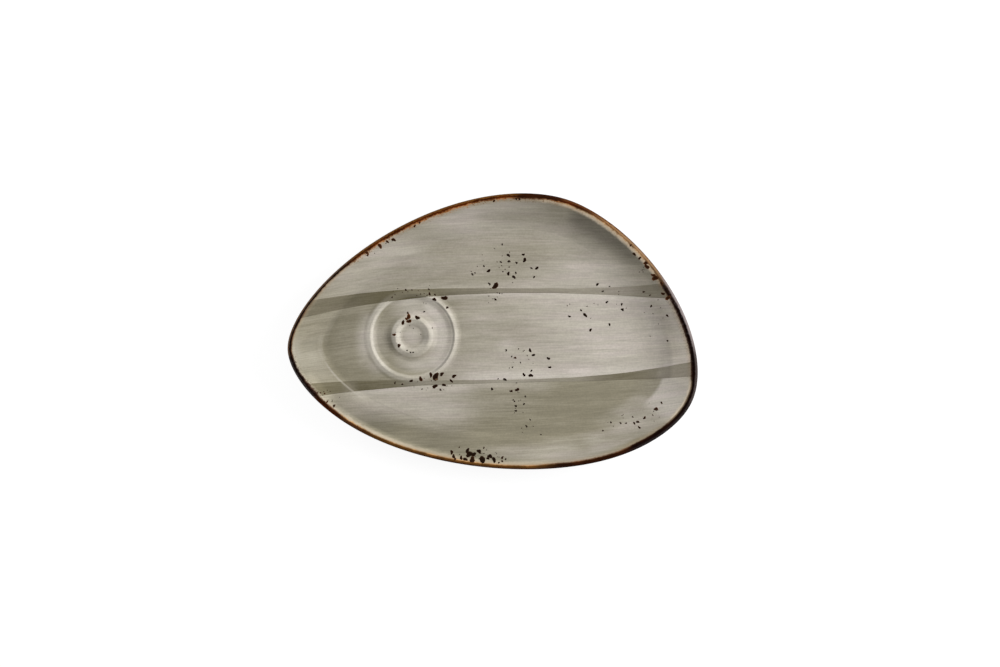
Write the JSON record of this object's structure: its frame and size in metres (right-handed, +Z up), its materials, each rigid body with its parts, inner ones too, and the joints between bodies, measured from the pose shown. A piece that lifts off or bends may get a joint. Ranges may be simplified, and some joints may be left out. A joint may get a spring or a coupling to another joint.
{
  "type": "charger plate",
  "caption": "Asymmetric pebble-shaped glazed stoneware charger plate with a rising wall, a brown lip, a foot ring and a ringed cup well at its narrow end.",
  "frame": {"origin": "on the table, under the middle of the plate's outline", "axes": "+X along the length towards the broad end, +Y across the width, +Z up"},
  "size_m": [0.3, 0.202, 0.024],
  "materials": {
    "fired_clay": "matte, unglazed",
    "grey_glaze": "semi-gloss, brushed streaks",
    "iron_rim_glaze": "gloss, breaking to amber",
    "dark_flank_glaze": "gloss",
    "base_glaze": "semi-gloss",
    "doubled_glaze": "semi-gloss",
    "iron_fleck": "gloss"
  },
  "bodies": {
    "root": {"clay_body": "fired_clay", "face_glaze": "grey_glaze", "rim_glaze": "iron_rim_glaze", "flank_glaze": "dark_flank_glaze", "base_glaze": "base_glaze", "upper_brush_band": "doubled_glaze", "lower_brush_band": "doubled_glaze", "iron_flecks": "iron_fleck"}
  },
  "joints": []
}
